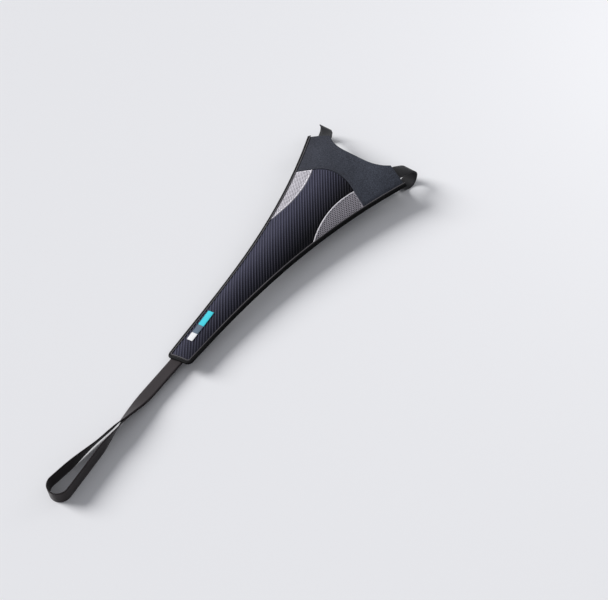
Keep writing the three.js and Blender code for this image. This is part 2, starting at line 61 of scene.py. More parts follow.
def lamp(name, place, kind, strength, soft):
    """A lamp that looks from its place at the middle of the cover."""
    data = bpy.data.lights.new(name, kind)
    data.energy = strength
    if kind == "SUN":
        data.angle = math.radians(soft)
    else:
        data.size = soft
    lamp_object = bpy.data.objects.new(name, data)
    bpy.context.scene.collection.objects.link(lamp_object)
    lamp_object.location = place
    lamp_object.rotation_euler = (-Vector(place)).to_track_quat("-Z", "Y").to_euler()


lamp("key_lamp", (-3.0, -0.9, 1.75), "SUN", 3.75, 28)
lamp("front_lamp", (0.5, 1.1, 0.6), "AREA", 1.5, 0.5)


def nodes_of(owner):
    owner.use_nodes = True
    owner.node_tree.nodes.clear()
    return owner.node_tree.nodes, owner.node_tree.links


world = bpy.data.worlds.new("studio")
bpy.context.scene.world = world
world_nodes, world_links = nodes_of(world)
world_out = world_nodes.new("ShaderNodeOutputWorld")
world_shade = world_nodes.new("ShaderNodeBackground")
world_shade.inputs["Color"].default_value = (0.93, 0.95, 1.0, 1)
world_shade.inputs["Strength"].default_value = 0.32
world_links.new(world_shade.outputs[0], world_out.inputs[0])

floor_mesh = bpy.data.meshes.new("floor")
floor_mesh.from_pydata([(-6, -6, 0), (6, -6, 0), (6, 6, 0), (-6, 6, 0)], [], [(0, 1, 2, 3)])
floor = bpy.data.objects.new("floor", floor_mesh)
bpy.context.scene.collection.objects.link(floor)
floor_finish = bpy.data.materials.new("pale_floor")
floor_nodes, floor_links = nodes_of(floor_finish)
floor_out = floor_nodes.new("ShaderNodeOutputMaterial")
floor_shade = floor_nodes.new("ShaderNodeBsdfPrincipled")
floor_shade.inputs["Base Color"].default_value = (0.86, 0.86, 0.88, 1)
floor_shade.inputs["Roughness"].default_value = 0.9
floor_links.new(floor_shade.outputs[0], floor_out.inputs[0])
floor_mesh.materials.append(floor_finish)


# The lining: a thin coated black cloth under the whole cover, from just inside the front
# hem to the tail. It hangs in one curved sheet, drawn tight by the straps at both ends, and
# every other layer lies on it, so the shape of the hang is given here.
cover_length = 422.8
front_half = 89.3
tail_half = 21.2
taper = 2.37
front_overrun, tail_overrun = -0.2, 1.2
tail_corner = 8.0
tape_nose = 1.35
front_y = -26.5
tail_y = front_y - cover_length
cloth_tail_y = tail_y + tape_nose
cover_origin = np.array([2.5243, 341.7504, 0.0])
lining_low, lining_high = -0.85, -0.15
lining_inset = 1.8
edge_height, edge_fall = 30.6, 16.8
front_crown, tail_crown = 21.2, 2.0
tail_drop, tail_tilt, tail_power = 3.5, math.radians(20), 7
pull_height, pull_width, pull_middle_y, pull_reach = 0.9, 11.0, -62.0, 26.0
pull_way = (0.62, 0.35)
slack_height, slack_width, slack_length = 0.7, 30.0, 19.0
scallop_half, scallop_y, scallop_depth, scallop_power = 55.0, -32.0, 17.0, 3.2
shoulder_y = scallop_y + scallop_depth
settling_rounds = 25


def down_share(y):
    return (front_y - y) / cover_length


def outer_half(y):
    """Half width over the edge tape in mm; y is 0 over the axis of the front loops."""
    t = np.clip(down_share(y), front_overrun, 1)
    return tail_half + (front_half - tail_half) * (1 - t) ** taper


def cloth_half(y):
    radius = tail_corner - tape_nose
    above = np.clip(y - cloth_tail_y, 0, radius)
    return outer_half(y) - tape_nose - radius + np.sqrt(radius**2 - (radius - above) ** 2)


def hang(x, y):
    """Height of the middle of the cloth: crowned along its length, tilted at the tail."""
    t = np.clip(down_share(y), 0, tail_overrun)
    edge = edge_height - edge_fall * t - tail_drop * t**tail_power
    crown = front_crown + (tail_crown - front_crown) * np.clip(down_share(y), front_overrun, 1)
    across = x / outer_half(y)
    inner = np.clip(1 - across**2, 0, 1)
    tilt = x * math.tan(tail_tilt) * t**tail_power
    pull_wave = np.sin((x * pull_way[0] + y * pull_way[1]) / pull_width)
    pull = pull_height * pull_wave * np.exp(-((y - pull_middle_y) / pull_reach) ** 2)
    slack = slack_height * np.sin(y / slack_length + x / slack_width) * inner
    return edge + crown * (1 - across**2) + tilt + pull * inner + slack


def hung(x, y, height):
    """Points at a height in mm over the cloth's middle, in the shared frame in metres."""
    x, y, height = np.broadcast_arrays(*(np.asarray(v, float) for v in (x, y, height)))
    step = 0.5
    slope_x = (hang(x + step, y) - hang(x - step, y)) / (2 * step)
    slope_y = (hang(x, y + step) - hang(x, y - step)) / (2 * step)
    normal = np.stack([-slope_x, -slope_y, np.ones_like(x)], -1)
    normal /= np.linalg.norm(normal, axis=-1, keepdims=True)
    point = np.stack([x, y, hang(x, y)], -1) + normal * height[..., None]
    return (point + cover_origin) * 0.001


def front_edge(x):
    """The front edge in mm: a scallop in the middle, and shoulders that fall to the corners."""
    size = np.abs(x)
    scallop = scallop_depth * (size / scallop_half) ** scallop_power + scallop_y
    outward = (size - scallop_half) / (front_half - scallop_half)
    shoulder = shoulder_y - outward * (shoulder_y - front_y)
    return np.where(size < scallop_half, scallop, shoulder)


def rows_between(from_line, to_line, shares, spread):
    """x and y of a sheet between two lines across the cover, spread over its width."""
    # The width depends on y and y on the width, so both settle in rounds.
    starts = np.full(len(spread), -30.0)
    ends = np.full(len(spread), -80.0)
    for _ in range(settling_rounds):
        starts = from_line(spread * cloth_half(starts))
        ends = to_line(spread * cloth_half(ends))
    y = starts[None, :] + (ends - starts)[None, :] * shares[:, None]
    return spread[None, :] * cloth_half(y), y


def new_object(name, vertices, faces, uv, finish):
    """A smooth mesh object with its faces outwards, and a flat cutting map in metres."""
    mesh = bpy.data.meshes.new(name)
    mesh.from_pydata([tuple(v) for v in vertices], [], [tuple(f) for f in faces])
    work = bmesh.new()
    work.from_mesh(mesh)
    bmesh.ops.recalc_face_normals(work, faces=work.faces)
    work.to_mesh(mesh)
    work.free()
    layer = mesh.uv_layers.new(name="cut")
    corner = np.empty(len(mesh.loops), dtype=np.int32)
    mesh.loops.foreach_get("vertex_index", corner)
    layer.data.foreach_set("uv", np.asarray(uv, np.float32)[corner].ravel())
    mesh.polygons.foreach_set("use_smooth", np.ones(len(mesh.polygons), dtype=bool))
    mesh.set_sharp_from_angle(angle=math.radians(50))
    mesh.materials.append(finish)
    piece = bpy.data.objects.new(name, mesh)
    bpy.context.scene.collection.objects.link(piece)
    return piece


def cloth_sheet(name, low, high, uv, finish):
    """A closed sheet of cloth from rows of its lower and its upper points."""
    rows, columns = low.shape[:2]
    ids = np.arange(rows * columns).reshape(rows, columns)
    top = ids + rows * columns
    faces = []
    for layer in (ids, top):
        faces += np.stack([layer[:-1, :-1], layer[1:, :-1], layer[1:, 1:], layer[:-1, 1:]],
                          -1).reshape(-1, 4).tolist()
    rim = np.concatenate([ids[0, :-1], ids[:-1, -1], ids[-1, :0:-1], ids[:0:-1, 0]])
    after = np.roll(rim, -1)
    faces += np.stack([rim, after, after + rows * columns, rim + rows * columns], -1).tolist()
    vertices = np.concatenate([low.reshape(-1, 3), high.reshape(-1, 3)])
    flat = uv.reshape(-1, 2)
    return new_object(name, vertices, faces, np.concatenate([flat, flat]), finish)


def cloth_area(points):
    """Area in square metres of a grid of points."""
    down, over = points[1:, :-1] - points[:-1, :-1], points[:-1, 1:] - points[:-1, :-1]
    return float(np.linalg.norm(np.cross(down, over), axis=-1).sum())


def shader_group(name, inputs, outputs):
    """An empty shader group with its named sockets, and the two ends of it."""
    group = bpy.data.node_groups.new(name, "ShaderNodeTree")
    for label, kind, value in inputs:
        socket = group.interface.new_socket(label, in_out="INPUT", socket_type=kind)
        if value is not None:
            socket.default_value = value
    for label, kind in outputs:
        group.interface.new_socket(label, in_out="OUTPUT", socket_type=kind)
    return group, group.nodes.new("NodeGroupInput"), group.nodes.new("NodeGroupOutput")


def math_node(tree, kind, first, second=None, third=None):
    """One sum on numbers or sockets, and its result."""
    node = tree.nodes.new("ShaderNodeMath")
    node.operation = kind
    for slot, value in enumerate((first, second, third)):
        if value is None:
            continue
        if isinstance(value, (int, float)):
            node.inputs[slot].default_value = value
        else:
            tree.links.new(value, node.inputs[slot])
    return node.outputs[0]


def mix_colors(tree, share, first, second, blend="MIX"):
    """Two colours or colour sockets mixed by a share, and the result."""
    node = tree.nodes.new("ShaderNodeMix")
    node.data_type = "RGBA"
    node.blend_type = blend
    for slot, value in ((0, share), (6, first), (7, second)):
        if isinstance(value, (int, float)):
            node.inputs[slot].default_value = value
        elif isinstance(value, tuple):
            node.inputs[slot].default_value = (*value, 1) if len(value) == 3 else value
        else:
            tree.links.new(value, node.inputs[slot])
    return node.outputs[2]


# Threads over and under each other: height and the share of thread that shows.
weave, weave_in, weave_out = shader_group(
    "woven_threads",
    [("Map", "NodeSocketVector", None), ("Across Pitch", "NodeSocketFloat", 0.0005),
     ("Along Pitch", "NodeSocketFloat", 0.0005)],
    [("Height", "NodeSocketFloat"), ("Thread", "NodeSocketFloat")])
parts = weave.nodes.new("ShaderNodeSeparateXYZ")
weave.links.new(weave_in.outputs["Map"], parts.inputs[0])
across_turn = math_node(weave, "DIVIDE", parts.outputs[0], weave_in.outputs["Across Pitch"])
along_turn = math_node(weave, "DIVIDE", parts.outputs[1], weave_in.outputs["Along Pitch"])
across_wave = math_node(weave, "SINE", math_node(weave, "MULTIPLY", across_turn, math.pi))
along_wave = math_node(weave, "SINE", math_node(weave, "MULTIPLY", along_turn, math.pi))
crossing = math_node(weave, "MULTIPLY", across_wave, along_wave)
rise = math_node(weave, "MULTIPLY_ADD", crossing, 0.5, 0.5)
weave.links.new(rise, weave_out.inputs["Height"])
gap = math_node(weave, "ABSOLUTE", crossing)
weave.links.new(math_node(weave, "POWER", gap, 0.35), weave_out.inputs["Thread"])

# Soft unevenness of dyed cloth: broad clouds, fibres and a few paler flecks.
cloth_tone, tone_in, tone_out = shader_group(
    "cloth_tone",
    [("Color", "NodeSocketColor", (0.5, 0.5, 0.5, 1)), ("Cloud", "NodeSocketFloat", 0.12),
     ("Fleck", "NodeSocketFloat", 0.2), ("Fleck Size", "NodeSocketFloat", 1500.0)],
    [("Color", "NodeSocketColor")])
place = cloth_tone.nodes.new("ShaderNodeTexCoord").outputs["Object"]


def noise_in(tree, place, scale, detail=3.0, rough=0.55):
    node = tree.nodes.new("ShaderNodeTexNoise")
    tree.links.new(place, node.inputs["Vector"])
    if isinstance(scale, (int, float)):
        node.inputs["Scale"].default_value = scale
    else:
        tree.links.new(scale, node.inputs["Scale"])
    node.inputs["Detail"].default_value = detail
    node.inputs["Roughness"].default_value = rough
    return node.outputs["Fac"]


clouds = noise_in(cloth_tone, place, 28.0, 3.0)
cloud_gain = math_node(cloth_tone, "MULTIPLY_ADD", math_node(cloth_tone, "SUBTRACT", clouds, 0.5),
                       math_node(cloth_tone, "MULTIPLY", tone_in.outputs["Cloud"], 4.0), 1.0)
fibres = noise_in(cloth_tone, place, tone_in.outputs["Fleck Size"], 2.0, 0.7)
fleck_gain = math_node(cloth_tone, "MULTIPLY_ADD", math_node(cloth_tone, "SUBTRACT", fibres, 0.5),
                       math_node(cloth_tone, "MULTIPLY", tone_in.outputs["Fleck"], 4.0), 1.0)
gain = math_node(cloth_tone, "MULTIPLY", cloud_gain, fleck_gain)
gray = cloth_tone.nodes.new("ShaderNodeCombineColor")
for slot in range(3):
    cloth_tone.links.new(gain, gray.inputs[slot])
toned = mix_colors(cloth_tone, 1.0, tone_in.outputs["Color"], gray.outputs[0], "MULTIPLY")
cloth_tone.links.new(toned, tone_out.inputs["Color"])


def finish_of(name, roughness, specular=0.3, sheen=0.0, sheen_rough=0.4):
    """A material with its Principled shader, its output and the piece's cutting map."""
    made = bpy.data.materials.new(name)
    nodes, links = nodes_of(made)
    shade = nodes.new("ShaderNodeBsdfPrincipled")
    links.new(shade.outputs[0], nodes.new("ShaderNodeOutputMaterial").inputs[0])
    shade.inputs["Roughness"].default_value = roughness
    shade.inputs["Specular IOR Level"].default_value = specular
    shade.inputs["Sheen Weight"].default_value = sheen
    shade.inputs["Sheen Roughness"].default_value = sheen_rough
    cut_map = nodes.new("ShaderNodeUVMap")
    cut_map.uv_map = "cut"
    return made, made.node_tree, shade, cut_map.outputs[0]


def toned_color(tree, color, cloud=0.12, fleck=0.2, size=1500.0):
    """A dye made uneven by the cloth_tone group."""
    node = tree.nodes.new("ShaderNodeGroup")
    node.node_tree = cloth_tone
    if isinstance(color, tuple):
        node.inputs["Color"].default_value = (*color, 1)
    else:
        tree.links.new(color, node.inputs["Color"])
    node.inputs["Cloud"].default_value = cloud
    node.inputs["Fleck"].default_value = fleck
    node.inputs["Fleck Size"].default_value = size
    return node.outputs["Color"]


def woven(tree, cut_map, across, along):
    """Height and thread share of the woven_threads group at two pitches in metres."""
    node = tree.nodes.new("ShaderNodeGroup")
    node.node_tree = weave
    tree.links.new(cut_map, node.inputs["Map"])
    node.inputs["Across Pitch"].default_value = across
    node.inputs["Along Pitch"].default_value = along
    return node.outputs["Height"], node.outputs["Thread"]


def bumped(tree, shade, height, depth, strength=0.6):
    node = tree.nodes.new("ShaderNodeBump")
    node.inputs["Distance"].default_value = depth
    node.inputs["Strength"].default_value = strength
    tree.links.new(height, node.inputs["Height"])
    tree.links.new(node.outputs[0], shade.inputs["Normal"])


lining_finish, tree, shade, cut_map = finish_of("coated_lining", 0.55, 0.35, 0.1)
color = toned_color(tree, (0.010, 0.010, 0.012), cloud=0.15, fleck=0.15)
height, thread = woven(tree, cut_map, 0.0006, 0.0006)
tree.links.new(mix_colors(tree, thread, (0.004, 0.004, 0.005), color), shade.inputs["Base Color"])
bumped(tree, shade, height, 0.0001, strength=0.5)

# The rows come closer together over the last part, where the tail's corners are round.
spread = np.linspace(-1, 1, 41)
corner_share = 0.03
down = np.concatenate([np.linspace(0, 1 - corner_share, 110),
                       1 - corner_share * (1 - np.linspace(0, 1, 12)[1:]) ** 2])
x, y = rows_between(lambda x: front_edge(x) - lining_inset,
                    lambda x: np.full_like(x, cloth_tail_y), down, spread)
flat_map = np.stack([x, y], -1) * 0.001
lining = cloth_sheet("lining_cloth", hung(x, y, lining_low), hung(x, y, lining_high), flat_map,
                     lining_finish)
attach(lining, "root")
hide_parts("lining")
cloth_area(hung(x, y, -0.5))


# The ribbed mesh panel down the middle: a dark open ground cloth with round knitted cords
# that run across it on a slant. It is sewn to the yoke in front and under the edge tape.
rib_pitch = 3.84
rib_angle = math.radians(36.5)
rib_way = np.array([math.sin(rib_angle), -math.cos(rib_angle)])
rib_across = np.array([math.cos(rib_angle), math.sin(rib_angle)])
cord_radius = 0.62
rib_step = 1.0
shortest_rib = 3
seam_gap = 0.4
arch_half, arch_y, arch_rise, seam_slope = 37.0, -73.5, 10.6, 0.38
seam_corner_y = arch_y - arch_rise
insert_tip_y, insert_tip_half, insert_bow, insert_overrun = -184.0, 36.0, 8.7, 1.05
cord_tape_gap, cord_seam_gap = 4.6, 1.3
row_inset = 0.06
cloth_low, cloth_high = 0.15, 0.85


def yoke_seam(x):
    """The seam between yoke and mesh in mm: an arch, and straight falling sides."""
    size = np.abs(x)
    arch = arch_y - np.minimum(size / arch_half, 1) ** 2 * arch_rise
    return arch - np.maximum(size - arch_half, 0) * seam_slope


def insert_seam(y):
    """Half width of the ribbed mesh in mm beside the inserts, bowed in between its ends."""
    share = (seam_corner_y - y) / (seam_corner_y - insert_tip_y)
    return arch_half + (insert_tip_half - arch_half) * share - 4 * insert_bow * share * (1 - share)


insert_end_y = seam_corner_y + (insert_tip_y - seam_corner_y) * insert_overrun


def panel_outline():
    """Outline of the centre panel in mm, from the middle of the yoke seam round to it."""
    side_x = insert_seam(seam_corner_y) - seam_gap / 2
    front = side_x * np.linspace(0, 1, 17)
    right = [(x, yoke_seam(x) - seam_gap / 2) for x in front]
    radius = tail_corner - tape_nose
    straight_end = cloth_tail_y + radius
    for y in np.linspace(right[-1][1], straight_end, 121)[1:]:
        limit = insert_seam(y) - seam_gap / 2 if y > insert_end_y else math.inf
        right.append((min(cloth_half(y), limit), y))
    for share in np.linspace(0, 1, 10)[1:]:
        y = straight_end - radius * math.sin(share * math.pi / 2)
        right.append((float(cloth_half(y)), y))
    left = [(-x, y) for x, y in reversed(right[1:])]
    return np.array(right + left)


def rib_span(outline, value):
    """Where a slanting line crosses the outline first and last, along the rib."""
    after = np.roll(outline, -1, axis=0)
    here, there = outline @ rib_across - value, after @ rib_across - value
    crosses = (here > 0) != (there > 0)
    share = here[crosses] / (here[crosses] - there[crosses])
    hits = outline[crosses] + (after - outline)[crosses] * share[:, None]
    reach = hits @ rib_way
    return reach.min(), reach.max()


def painted_light_across_x(tree, right, left, reach, middle=0.0):
    """One colour that runs from the right side to the left: painted light and painted shade across
    the cover.
    """
    parts = tree.nodes.new("ShaderNodeSeparateXYZ")
    tree.links.new(tree.nodes.new("ShaderNodeTexCoord").outputs["Object"], parts.inputs[0])
    share = tree.nodes.new("ShaderNodeMapRange")
    share.inputs["From Min"].default_value = middle + reach
    share.inputs["From Max"].default_value = middle - reach
    tree.links.new(parts.outputs[0], share.inputs["Value"])
    return mix_colors(tree, share.outputs[0], right, left)


def cloth_finish(name, color, roughness, across, along, depth, specular=0.3, sheen=0.0,
                 cloud=0.12, fleck=0.2, gap=0.35, size=1500.0, left=None, reach=0.03,
                 middle=0.0):
    """A woven finish: dark gaps between the threads of one dyed colour; with a left colour, the
    colour runs from right to left as painted light and shade.
    """
    made, tree, shade, cut_map = finish_of(name, roughness, specular, sheen)
    body = painted_light_across_x(tree, color, left, reach, middle) if left else color
    tone = toned_color(tree, body, cloud, fleck, size)
    height, thread = woven(tree, cut_map, across, along)
    dark = mix_colors(tree, 1.0, body, (gap, gap, gap), "MULTIPLY")
    tree.links.new(mix_colors(tree, thread, dark, tone), shade.inputs["Base Color"])
    bumped(tree, shade, height, depth)
    return made


# The ground and the cords are painted lighter on the left and middle of the panel and darker on the
# right: painted light and painted shade.
ground_finish = cloth_finish(
    "rib_ground", (0.002, 0.002, 0.006), roughness=0.75, across=0.0016, along=0.0013,
    depth=0.0003, specular=0.2, sheen=0.05, gap=0.3,
    left=(0.046, 0.046, 0.074), reach=0.022, middle=0.007)
cord_finish = cloth_finish(
    "rib_cord", (0.004, 0.004, 0.013), roughness=0.6, across=0.0011, along=0.0009,
    depth=0.0002, specular=0.2, sheen=0.05, cloud=0.4, fleck=1.2, gap=0.5, size=420.0,
    left=(0.160, 0.160, 0.260), reach=0.022, middle=0.009)

outline = panel_outline()
values = outline @ rib_across
ground_rows = []
for value in np.linspace(values.min() + row_inset, values.max() - row_inset, 161):
    first, last = rib_span(outline, value)
    reach = first + (last - first) * np.linspace(0, 1, 31)
    ground_rows.append(value * rib_across + reach[:, None] * rib_way)
ground_rows = np.array(ground_rows)
x, y = ground_rows[..., 0], ground_rows[..., 1]
along_rib = np.stack([ground_rows @ rib_across, ground_rows @ rib_way], -1) * 0.001
ground = cloth_sheet("mesh_ground", hung(x, y, cloth_low), hung(x, y, cloth_high), along_rib,
                     ground_finish)
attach(ground, "root")
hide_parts("mesh_panel")


def node_tree_of(name, inputs):
    """A Geometry Nodes tree that takes and gives a shape, with its named sizes."""
    tree = bpy.data.node_groups.new(name, "GeometryNodeTree")
    tree.interface.new_socket("Shape", in_out="INPUT", socket_type="NodeSocketGeometry")
    for label, kind in inputs:
        tree.interface.new_socket(label, in_out="INPUT", socket_type=kind)
    tree.interface.new_socket("Shape", in_out="OUTPUT", socket_type="NodeSocketGeometry")
    return tree, tree.nodes.new("NodeGroupInput"), tree.nodes.new("NodeGroupOutput")


def socket_key(tree, label):
    """The identifier of a tree's named input."""
    for item in tree.interface.items_tree:
        if item.item_type == "SOCKET" and item.in_out == "INPUT" and item.name == label:
            return item.identifier


def grown(name, lines, tree, sizes):
    """Lays lines of points in a new object, grows the tree on them and keeps the mesh."""
    vertices, edges = [], []
    for line in lines:
        start = len(vertices)
        vertices += [tuple(p) for p in line]
        edges += [(start + k, start + k + 1) for k in range(len(line) - 1)]
    mesh = bpy.data.meshes.new(name + "_path")
    mesh.from_pydata(vertices, edges, [])
    path = bpy.data.objects.new(name + "_path", mesh)
    bpy.context.scene.collection.objects.link(path)
    modifier = path.modifiers.new("grow", "NODES")
    modifier.node_group = tree
    for label, value in sizes.items():
        modifier[socket_key(tree, label)] = value
    bpy.context.view_layer.update()
    evaluated = path.evaluated_get(bpy.context.evaluated_depsgraph_get())
    solid = bpy.data.meshes.new_from_object(evaluated)
    bpy.data.objects.remove(path)
    solid.name = name
    piece = bpy.data.objects.new(name, solid)
    bpy.context.scene.collection.objects.link(piece)
    return piece


# Knitted cords: a round section swept along each line, swelling at every stitch of it.
cords, cords_in, cords_out = node_tree_of("knitted_cords", [
    ("Radius", "NodeSocketFloat"), ("Stitch", "NodeSocketFloat"), ("Step", "NodeSocketFloat"),
    ("Swell", "NodeSocketFloat"), ("Finish", "NodeSocketMaterial")])
link = cords.links.new
to_curve = cords.nodes.new("GeometryNodeMeshToCurve")
even_steps = cords.nodes.new("GeometryNodeResampleCurve")
even_steps.mode = "LENGTH"
thick = cords.nodes.new("GeometryNodeSetCurveRadius")
along = cords.nodes.new("GeometryNodeSplineParameter")
turns = math_node(cords, "DIVIDE", along.outputs["Length"], cords_in.outputs["Stitch"])
wave = math_node(cords, "SINE", math_node(cords, "MULTIPLY", turns, 2 * math.pi))
swell = math_node(cords, "MULTIPLY_ADD", wave, cords_in.outputs["Swell"], 1.0)
swollen = math_node(cords, "MULTIPLY", swell, cords_in.outputs["Radius"])
ring = cords.nodes.new("GeometryNodeCurvePrimitiveCircle")
ring.inputs["Resolution"].default_value = 6
ring.inputs["Radius"].default_value = 1.0
sweep = cords.nodes.new("GeometryNodeCurveToMesh")
sweep.inputs["Fill Caps"].default_value = True
smooth = cords.nodes.new("GeometryNodeSetShadeSmooth")
whole = cords.nodes.new("GeometryNodeRealizeInstances")
dressed = cords.nodes.new("GeometryNodeSetMaterial")
link(cords_in.outputs["Shape"], to_curve.inputs[0])
link(to_curve.outputs[0], even_steps.inputs["Curve"])
link(cords_in.outputs["Step"], even_steps.inputs["Length"])
link(even_steps.outputs[0], thick.inputs["Curve"])
link(swollen, thick.inputs["Radius"])
link(thick.outputs[0], sweep.inputs["Curve"])
link(ring.outputs[0], sweep.inputs["Profile Curve"])
link(swollen, sweep.inputs["Scale"])
link(sweep.outputs[0], smooth.inputs[0])
link(smooth.outputs[0], whole.inputs[0])
link(whole.outputs[0], dressed.inputs[0])
link(cords_in.outputs["Finish"], dressed.inputs["Material"])
link(dressed.outputs[0], cords_out.inputs[0])


def inside_room(x, y):
    """How far a point of the centre panel is from the tape or a seam, in mm."""
    size = np.abs(x)
    side = cloth_half(y) - size - cord_tape_gap
    tail = y - cloth_tail_y - cord_tape_gap
    yoke = yoke_seam(x) - y - cord_seam_gap
    insert = np.where(y > insert_end_y, insert_seam(y) - size - cord_seam_gap, math.inf)
    return np.minimum(np.minimum(side, tail), np.minimum(yoke, insert))


rib_lines = []
rib_count = round((values.max() - values.min()) / rib_pitch)
for k in range(rib_count):
    value = values.min() + rib_pitch * (k + 0.5)
    first, last = rib_span(outline, value)
    reach = np.linspace(first, last, max(int((last - first) / rib_step), 2))
    points = value * rib_across + reach[:, None] * rib_way
    clear = inside_room(points[:, 0], points[:, 1]) > 0
    runs = np.split(points, np.flatnonzero(np.diff(clear.astype(int))) + 1)
    for run in runs:
        if len(run) > shortest_rib and inside_room(*run[len(run) // 2]) > 0:
            rib_lines.append(hung(run[:, 0], run[:, 1], cloth_high + 0.5 * cord_radius))
ribs = grown("mesh_ribs", rib_lines, cords, {
    "Radius": cord_radius * 0.001, "Stitch": 0.0031, "Step": rib_step * 0.001,
    "Swell": 0.32, "Finish": cord_finish})
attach(ribs, "root")

cloth_area(hung(x, y, 0.5))


# The two grey inserts beside the front of the mesh panel: an open warp-knit net with
# staggered round holes, its inner edge rolled and sewn down, its outer edge under the tape.
hole_step = 0.93
hole_widening = 1.2
hole_margin = 1.9
net_low, net_high = 0.3, 1.15
net_start_x, net_start_y = 22.0, -70.0
roll_height, roll_middle, roll_width, roll_start = 0.9, 0.9, 0.8, 0.5
press_reach = 1.6
rim_slack = 0.05
smallest_cut = 0.02


def net_edges(x, y):
    """Pulls points of the right insert in to its seams."""
    for _ in range(8):
        y = np.clip(y, insert_end_y, yoke_seam(x) - seam_gap / 2)
        x = np.clip(x, insert_seam(y) + seam_gap / 2, cloth_half(y))
    return x, y


def net_room(x, y):
    """How far a point is from the nearest rim and from the inner seam, in mm."""
    inner = x - insert_seam(y) - seam_gap / 2
    return np.minimum(np.minimum(inner, cloth_half(y) - x), yoke_seam(x) - seam_gap / 2 - y), inner


def grey_net(name, side):
    """A thin open sheet on a lattice of small triangles, left out round each hole."""
    columns, rows = 56, 146
    i, j = np.meshgrid(np.arange(columns), np.arange(rows))
    lattice_x = net_start_x + (i + 0.5 * (j % 2)) * hole_step
    lattice_y = net_start_y - j * hole_step * math.sqrt(3) / 2
    axial = i - (j - j % 2) // 2
    room, inner = net_room(lattice_x, lattice_y)
    room = np.minimum(room, lattice_y - insert_end_y)
    centre = (j % 3 == 0) & (axial % 3 == 0) & (room > hole_margin)
    ids = j * columns + i
    even_row = (j[:-1, :-1] % 2 == 0)
    a, b = ids[:-1, :-1], ids[:-1, 1:]
    c, d = ids[1:, :-1], ids[1:, 1:]
    first = np.where(even_row[..., None], np.stack([a, b, c], -1), np.stack([a, d, c], -1))
    second = np.where(even_row[..., None], np.stack([b, d, c], -1), np.stack([a, b, d], -1))
    triangles = np.concatenate([first.reshape(-1, 3), second.reshape(-1, 3)])
    keep = (room.ravel()[triangles] > -rim_slack).any(1) & ~centre.ravel()[triangles].any(1)
    triangles = triangles[keep]
    wide_x, wide_y = lattice_x.ravel().copy(), lattice_y.ravel().copy()
    for row, column in np.argwhere(centre):
        middle = np.array([lattice_x[row, column], lattice_y[row, column]])
        lean = row % 2
        ring = [(row, column - 1), (row, column + 1)]
        ring += [(row + r, column + lean + c) for r in (-1, 1) for c in (-1, 0)]
        for r, c in ring:
            near = r * columns + c
            wide_x[near] = middle[0] + hole_widening * (lattice_x[r, c] - middle[0])
            wide_y[near] = middle[1] + hole_widening * (lattice_y[r, c] - middle[1])
    x, y = net_edges(wide_x, wide_y)
    p = np.stack([x, y], -1)
    u, v = p[triangles[:, 1]] - p[triangles[:, 0]], p[triangles[:, 2]] - p[triangles[:, 0]]
    triangles = triangles[np.abs(u[:, 0] * v[:, 1] - u[:, 1] * v[:, 0]) > smallest_cut]
    used, triangles = np.unique(triangles, return_inverse=True)
    triangles = triangles.reshape(-1, 3)
    x, y = x[used], y[used]
    room, inner = net_room(x, y)
    roll = roll_height * np.exp(-((inner - roll_middle) / roll_width) ** 2)
    roll = roll * np.clip(inner / roll_start, 0, 1)
    press = np.clip(room / press_reach, 0, 1)
    count = len(x)
    low = hung(side * x, y, cloth_low + (net_low - cloth_low) * press)
    high = hung(side * x, y, cloth_high + (net_high - cloth_high) * press + roll)
    edges = np.concatenate([triangles[:, [0, 1]], triangles[:, [1, 2]], triangles[:, [2, 0]]])
    reverse = {(b, a) for a, b in edges.tolist()}
    open_edges = [(a, b) for a, b in edges.tolist() if (a, b) not in reverse]
    faces = triangles.tolist() + (triangles[:, ::-1] + count).tolist()
    faces += [(a, b, b + count, a + count) for a, b in open_edges]
    vertices = np.concatenate([low, high])
    uv = np.stack([inner, y], -1) * 0.001
    return new_object(name, vertices, faces, np.concatenate([uv, uv]), net_finish)


net_finish, tree, shade, cut_map = finish_of("grey_net", 0.55, 0.5, 0.5)
parts = tree.nodes.new("ShaderNodeSeparateXYZ")
tree.links.new(cut_map, parts.inputs[0])
# Along the rolled inner edge the net is painted paler: a painted highlight.
rolled_edge_highlight = tree.nodes.new("ShaderNodeMapRange")
rolled_edge_highlight.inputs["From Min"].default_value = 0.0022
rolled_edge_highlight.inputs["From Max"].default_value = 0.0012
tree.links.new(parts.outputs[0], rolled_edge_highlight.inputs["Value"])
# The yarn is painted lighter on the left insert than on the right: painted light and painted shade.
yarn_with_painted_light = painted_light_across_x(tree, (0.50, 0.47, 0.525), (0.74, 0.71, 0.77), 0.045)
body = mix_colors(tree, rolled_edge_highlight.outputs[0], yarn_with_painted_light, (0.86, 0.83, 0.88))
color = toned_color(tree, body, cloud=0.05, fleck=0.1, size=900.0)
height, thread = woven(tree, cut_map, 0.0005, 0.0007)
dark = mix_colors(tree, 1.0, color, (0.6, 0.6, 0.6), "MULTIPLY")
tree.links.new(mix_colors(tree, thread, dark, color), shade.inputs["Base Color"])
bumped(tree, shade, height, 0.0001)

for hand, side in (("left", -1), ("right", 1)):
    net = grey_net("net_insert_" + hand, side)
    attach(net, "root")
    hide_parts("side_insert_" + hand)


# The yoke: soft brushed charcoal jersey at the front. Its scalloped front edge is turned
# under the lining and sewn down, and its rear edge meets the mesh panel in a raised seam.
hem_fold = 10.0
hem_low, hem_high = -1.85, -1.15
hem_steps, hem_draw = 12, 0.06
hem_middle, hem_outer, hem_inner = (-0.2, -0.05), (1.1, 1.8), (0.35, 1.1)
hem_map_step = 0.45
yoke_pressed, yoke_rise = 0.95, 0.8
tape_reach, yoke_slope = 4.5, 3.4
lap_height, lap_width = 0.25, 1.2
front_thin, front_lift = 3.5, 0.9
# The jersey is painted darker on its left side and lighter on its right: painted shade and painted
# light across the yoke.
yoke_finish = cloth_finish(
    "charcoal_jersey", (0.064, 0.071, 0.092), roughness=0.95, across=0.0006, along=0.0009,
    depth=0.00012, specular=0.15, sheen=0.1, cloud=0.26, fleck=0.65, gap=0.7, size=520.0,
    left=(0.033, 0.035, 0.046), reach=0.075)

